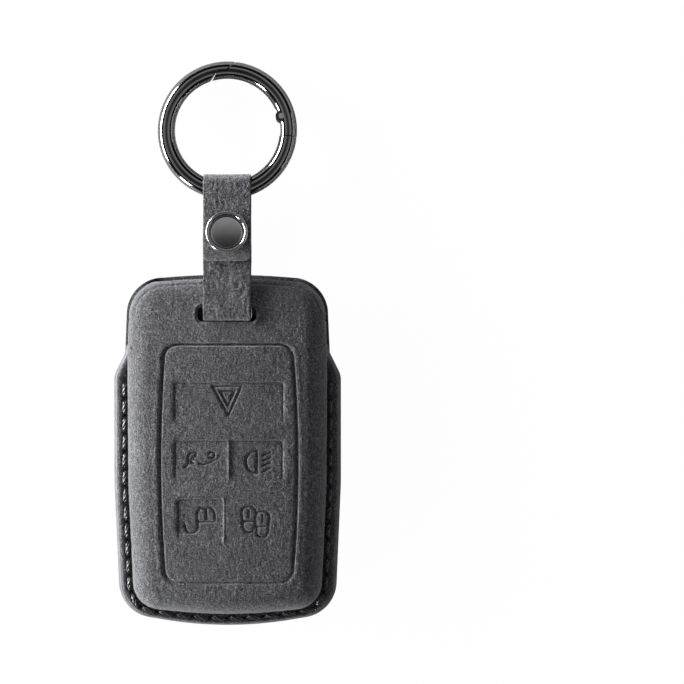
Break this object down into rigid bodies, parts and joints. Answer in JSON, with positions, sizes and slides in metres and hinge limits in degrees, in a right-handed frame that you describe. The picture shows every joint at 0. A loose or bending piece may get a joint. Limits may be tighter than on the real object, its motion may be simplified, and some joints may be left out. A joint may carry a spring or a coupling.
{
  "type": "key fob cover",
  "caption": "Moulded suede sleeve for a car key fob with a stitched rim, embossed button field, snap strap through a slot and a round spring-gate ring.",
  "frame": {"origin": "under the middle of the bounding box, on the surface that the cover lies on", "axes": "+Y from the cover's closed end to the ring, +Z out of the front with the buttons, +X to the right as seen from the front"},
  "size_m": [0.0652, 0.1622, 0.0189],
  "materials": {
    "suede": "brushed suede, fine short nap",
    "strap_suede": "coarse-napped suede",
    "lining": "smooth faux suede",
    "edge_paint": "burnished edge coating",
    "thread": "waxed twisted thread",
    "ring_metal": "polished black nickel",
    "cap_metal": "polished black nickel",
    "snap_metal": "black nickel plate",
    "pin_metal": "steel"
  },
  "bodies": {
    "cover": {"front_shell": "suede", "front_lining": "lining", "back_shell": "suede", "back_lining": "lining", "edge_coating": "edge_paint", "front_stitches": "thread", "back_stitches": "thread", "strap_suede": "strap_suede", "strap_lining": "lining", "snap_post": "snap_metal", "snap_stud": "snap_metal"},
    "flap": {"flap_suede": "strap_suede", "flap_lining": "lining", "snap_cap": "cap_metal", "snap_socket": "snap_metal", "snap_socket_spring": "pin_metal"},
    "ring": {"ring_body": "ring_metal", "gate_spring": "pin_metal"},
    "gate": {"ring_gate": "ring_metal", "gate_pin": "pin_metal"}
  },
  "joints": [
    {"name": "flap_open", "type": "hinge", "parent": "cover", "child": "flap", "pos_m": [0, 0.04599, 0.01307], "axis": [-1, 0, 0], "range_deg": [0, 115], "deforming": ["snap_socket_spring"]},
    {"name": "ring_swing", "type": "hinge", "parent": "cover", "child": "ring", "pos_m": [0, 0.04492, 0.00842], "axis": [1, 0, 0], "range_deg": [-140, 155]},
    {"name": "gate_open", "type": "hinge", "parent": "ring", "child": "gate", "pos_m": [0.0155, 0.06519, 0.00486], "axis": [0, 0.1733, 0.9849], "range_deg": [0, 28], "stiffness_Nm_per_rad": 0.05, "springref_deg": -22.92, "deforming": ["gate_spring"]}
  ]
}
